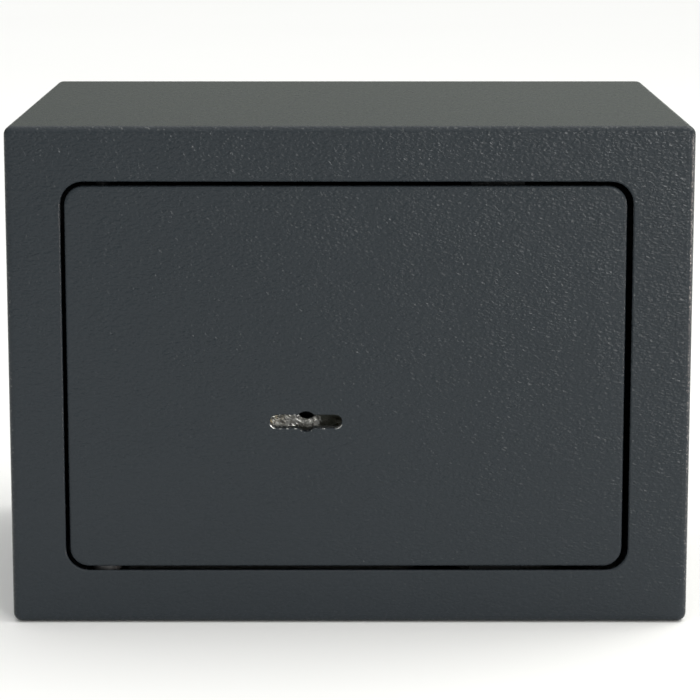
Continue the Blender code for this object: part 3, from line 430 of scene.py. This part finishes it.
def stamped_brass():
    """Brass with rolling lines and brown tarnish."""
    g = Graph("stamped_brass", metallic=1.0)
    lines = g.noise(220.0, 3.0, 0.6, 0.0, g.stretched(1.0, 1.0, 18.0))
    tarnish = g.noise(130.0, 4.0, 0.6)
    dull, bright = BRASS
    return g.set({
        "Base Color": g.blend(g.spread(tarnish, 0.42, 0.72), bright, dull),
        "Roughness": g.plus(g.spread(tarnish, 0.3, 0.7, 0.24, 0.42), g.times(lines, 0.06)),
        "Normal": g.bump(lines, 0.015 * MM, 0.6),
    })


def spring_steel():
    """Steel with the blue and straw colours of its heat treatment."""
    g = Graph("blued_spring_steel", metallic=1.0)
    heat = g.noise(160.0)
    return g.set({
        "Base Color": g.blend(g.spread(heat, 0.35, 0.65), *SPRING_STEEL),
        "Roughness": g.spread(heat, 0.3, 0.7, 0.24, 0.36),
    })


def black_nylon():
    g = Graph("black_nylon")
    # Black nylon, kept near black as painted shade where the washer shows in the door's gap.
    haze = g.noise(400.0, 3.0)
    return g.set({
        "Base Color": g.blend(haze, *NYLON_AS_SHADE),
        "Roughness": g.spread(haze, 0.3, 0.7, 0.38, 0.5),
        "Normal": g.bump(haze, 0.03 * MM, 0.4),
    })


def felt():
    """Charcoal needled felt: matted fibres in two directions, lint and a soft sheen."""
    g = Graph("charcoal_felt")
    matted = g.noise(900.0, 4.0, 0.7, 2.5)
    strands = g.noise(1500.0, 3.0, 0.6, 1.5, g.stretched(1.0, 0.35, 1.0))
    lint = g.spread(g.noise(1900.0, 2.0, 0.6, 3.0), 0.64, 0.72)
    cloud = g.spread(g.noise(120.0, 3.0, 0.6), 0.3, 0.7, 0.0, 0.35)
    mottle = g.math("ADD", g.spread(matted, 0.32, 0.66), cloud, clamp=True)
    return g.set({
        "Base Color": g.blend(lint, g.blend(mottle, *FELT), LINT),
        "Roughness": 0.95,
        "Normal": g.bump(g.plus(matted, strands), 0.8 * MM, 1.0),
        "Sheen Weight": 0.35,
        "Sheen Roughness": 0.6,
    })


def pale_floor():
    g = Graph("pale_floor")
    return g.set({
        "Base Color": g.blend(g.noise(1.5), FLOOR_DARK, FLOOR_LIGHT),
        "Roughness": 0.9,
        "Specular IOR Level": 0.0,
    })


# ---------------------------------------------------------------- pieces


def soften(piece, edge):
    """Joins a CAD node's facets, rounds its sharp edges a little and evens its shading."""
    mesh = piece.data
    if "custom_normal" in mesh.attributes:
        mesh.attributes.remove(mesh.attributes["custom_normal"])
    mesh.shade_smooth()
    weld = piece.modifiers.new("weld", "WELD")
    weld.merge_threshold = WELD_DISTANCE
    bevel = piece.modifiers.new("edge", "BEVEL")
    bevel.width = edge
    bevel.segments = 2
    bevel.limit_method = "ANGLE"
    bevel.angle_limit = SHARP_ANGLE
    bevel.use_clamp_overlap = True
    even = piece.modifiers.new("even", "WEIGHTED_NORMAL")
    even.mode = "FACE_AREA"
    even.keep_sharp = False


def dress(starts, material, edge):
    """Gives a material and softer edges to every CAD node whose name starts with one of these."""
    for name in sorted(NODES):
        if name.startswith(starts):
            piece = NODES[name]
            piece.data.materials.clear()
            piece.data.materials.append(material)
            soften(piece, edge)


def link(name, bm, material, body):
    """A new piece in place, riding on a CAD body."""
    mesh = bpy.data.meshes.new(name)
    bm.to_mesh(mesh)
    bm.free()
    mesh.materials.append(material)
    mesh.shade_smooth()
    piece = bpy.data.objects.new(name, mesh)
    SCENE.collection.objects.link(piece)
    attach(piece, body)
    return piece


def remeshed(node, voxel):
    """A CAD node's shape as an even, slightly smoothed mesh."""
    source = bpy.data.objects.new("remesh_source", NODES[node].data.copy())
    SCENE.collection.objects.link(source)
    weld = source.modifiers.new("weld", "WELD")
    weld.merge_threshold = WELD_DISTANCE
    remesh = source.modifiers.new("remesh", "REMESH")
    remesh.mode = "VOXEL"
    remesh.voxel_size = voxel
    smooth = source.modifiers.new("smooth", "SMOOTH")
    smooth.iterations = 3
    graph = bpy.context.evaluated_depsgraph_get()
    bm = bmesh.new()
    bm.from_mesh(source.evaluated_get(graph).to_mesh())
    bpy.data.objects.remove(source)
    return bm


def make_mat(material):
    """The felt mat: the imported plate's outline, remeshed and roughened like needled felt."""
    low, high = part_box("floor_mat")
    bm = remeshed("floor_mat", MAT_VOXEL)
    for vert in bm.verts:
        at = vert.co
        wander = noise.noise(at * 260.0) * MAT_FUZZ
        sway = noise.noise(at * 28.0 + Vector((7.0, 3.0, 1.0))) * MAT_SWAY
        side = noise.noise_vector(at * 420.0) * MAT_FUZZ
        rising = (at.z - low.z) / (high.z - low.z)  # none at the underside, which lies flat
        at.x += side.x
        at.y += side.y
        at.z += (wander + sway) * rising
    mat = link("felt_mat", bm, material, "body")
    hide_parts("floor_mat")


def bead_ring(bm, centre, run, radius):
    """One ring of a weld bead, square to its run along X or Z."""
    depth = Vector((0.0, 1.0, 0.0))
    verts = []
    for i in range(WELD_SIDES):
        turn = 2 * math.pi * i / WELD_SIDES
        across = depth * math.cos(turn) + run.cross(depth) * math.sin(turn)
        verts.append(bm.verts.new(centre + across * radius))
    return verts


def bead_radius(share, steps, centre):
    """A bead's radius at a share of its length: rippled, lumpy, and pointed at both ends."""
    taper = min(1.0, 6 * share + 0.15, 6 * (1 - share) + 0.15)
    ripple = 0.86 + 0.14 * abs(math.sin(share * steps * 0.9))
    lump = 1.0 + 0.12 * noise.noise(centre * 900.0)
    return min(WELD_RADIUS * taper * ripple * lump, WELD_RADIUS)


def add_bead(bm, start, end):
    span = end - start
    run = span.normalized()
    steps = max(8, round(span.length / WELD_STEP))
    rings = []
    for i in range(steps + 1):
        share = i / steps
        centre = start + span * share
        rings.append(bead_ring(bm, centre, run, bead_radius(share, steps, centre)))
    for one, other in zip(rings, rings[1:]):
        for a, b, c, d in zip(one, other, other[1:] + other[:1], one[1:] + one[:1]):
            bm.faces.new((a, b, c, d))
    bm.faces.new(rings[0][::-1])
    bm.faces.new(rings[-1])


def make_rear_welds(material):
    """Short runs of weld in the groove between the walls and the rear panel, painted over."""
    low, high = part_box("body_shell")
    depth = high.y - WELD_RADIUS - WELD_SUNK
    bm = bmesh.new()
    for share in WELDS_WIDE:
        x = low.x + (high.x - low.x) * share
        for z in (low.z + WELD_INSET, high.z - WELD_INSET):
            wander = WELD_WANDER * noise.noise(Vector((x * 90, z * 90, 0.3)))
            start = Vector((x - WELD_LENGTH / 2 + wander, depth, z))
            add_bead(bm, start, start + Vector((WELD_LENGTH, 0.0, 0.0)))
    for share in WELDS_TALL:
        z = low.z + (high.z - low.z) * share
        for x in (low.x + WELD_INSET, high.x - WELD_INSET):
            wander = WELD_WANDER * noise.noise(Vector((x * 90, z * 90, 0.7)))
            start = Vector((x, depth, z - WELD_LENGTH / 2 + wander))
            add_bead(bm, start, start + Vector((0.0, 0.0, WELD_LENGTH)))
    bmesh.ops.recalc_face_normals(bm, faces=bm.faces)
    link("rear_panel_welds", bm, material, "body")


# ---------------------------------------------------------------- surroundings


def make_floor(material):
    bm = bmesh.new()
    bmesh.ops.create_grid(bm, x_segments=2, y_segments=2, size=FLOOR_REACH)
    mesh = bpy.data.meshes.new("floor")
    bm.to_mesh(mesh)
    bm.free()
    mesh.materials.append(material)
    floor = bpy.data.objects.new("floor", mesh)
    floor.location.z = -FLOOR_BELOW
    SCENE.collection.objects.link(floor)


def make_world():
    """A white surround for the camera, and a soft dome of light that is strongest overhead."""
    world = bpy.data.worlds.new("studio")
    SCENE.world = world
    world.use_nodes = True
    sky = Nodes(world.node_tree)
    sky.tree.nodes.clear()
    x, _, height = sky.split(sky.add("TexCoord").outputs["Generated"])
    ramp = sky.add("ValToRGB", {"Fac": height})
    stops = ramp.color_ramp.elements
    stops.remove(stops[1])
    for number, (position, colour) in enumerate(DOME):
        stop = stops.new(position) if number else stops[0]
        stop.position = position
        stop.color = (*colour, 1.0)
    sideways = sky.spread(x, -DOME_TURN, DOME_TURN, DOME_LEFT, DOME_RIGHT)
    dome = sky.add("Background", {"Color": ramp.outputs["Color"], "Strength": sideways})
    seen = sky.add("Background", {"Color": WHITE})
    by_camera = sky.add("LightPath").outputs["Is Camera Ray"]
    mix = sky.add("MixShader", {"Fac": by_camera, 1: dome.outputs[0], 2: seen.outputs[0]})
    sky.add("OutputWorld", {"Surface": mix.outputs[0]})


def make_light(name, place, aim, size, power, colour):
    """A softbox that faces a point, hidden from the camera."""
    light = bpy.data.lights.new(name, "AREA")
    light.shape = "RECTANGLE"
    light.size, light.size_y = size
    light.energy = power
    light.color = colour
    lamp = bpy.data.objects.new(name, light)
    lamp.location = place
    lamp.visible_camera = False
    lamp.rotation_euler = (Vector(aim) - Vector(place)).to_track_quat("-Z", "Y").to_euler()
    SCENE.collection.objects.link(lamp)


def make_camera():
    camera = bpy.data.objects.new("camera", bpy.data.cameras.new("camera"))
    camera.data.lens = CAMERA_LENS
    camera.data.sensor_width = CAMERA_SENSOR
    camera.data.shift_y = CAMERA_SHIFT
    camera.data.clip_start = CAMERA_NEAR
    camera.location = (CAMERA_X, cad_box[0].y - CAMERA_DISTANCE, CAMERA_HEIGHT)
    camera.rotation_euler = (math.radians(90.0 - CAMERA_TILT), 0.0, 0.0)
    SCENE.collection.objects.link(camera)
    SCENE.camera = camera


def dress_nodes(paint):
    """A finish for every CAD node, with the size of its softened edges."""
    zinc = zinc_plate()
    drawn = turned_steel("bright_drawn_steel", (2.0, 40.0, 2.0), DRAWN_STEEL, 0.24)
    nickel = turned_steel("nickel_plated_steel", (55.0, 1.0, 1.0), NICKEL, 0.16)
    hinge_and_stops = ("hinge_bracket", "hinge_lug", "hinge_pin", "door_stop", "strike")
    levers = tuple(f"lever_{number}" for number in range(1, LEVERS + 1))
    dress("body_shell", paint, 0.35 * MM)
    dress("rear_panel", paint, 0.3 * MM)
    dress("door_plate", door_coat(), 0.2 * MM)
    # near black, painted shade where these show in the door's gaps
    dress(hinge_and_stops, near_black_shade_coat(), 0.2 * MM)
    dress(("bolt_guide", "bolt_bar"), zinc, 0.2 * MM)
    dress(("lock_case", "lock_cover"), rough_zinc(), 0.18 * MM)
    dress(("case_nut", "guide_nut"), zinc, 0.12 * MM)
    dress(("cover_screw", "bar_screw", "lever_post", "bolt_stump"), drawn, 0.1 * MM)
    dress("lock_bolt", drawn, 0.2 * MM)
    dress("locking_bolt", nickel, 0.15 * MM)
    dress(levers, stamped_brass(), 0.1 * MM)
    dress("lever_spring", spring_steel(), 0.05 * MM)
    # black nylon, near black as painted shade in the door's gap
    dress("hinge_washer", black_nylon(), 0.15 * MM)


def main():
    SCENE.view_settings.view_transform = "Standard"
    paint = powder_coat()
    dress_nodes(paint)
    make_mat(felt())
    make_rear_welds(paint)
    make_floor(pale_floor())
    make_world()
    for name, settings in LIGHTS.items():
        make_light(name, **settings)
    make_camera()


main()
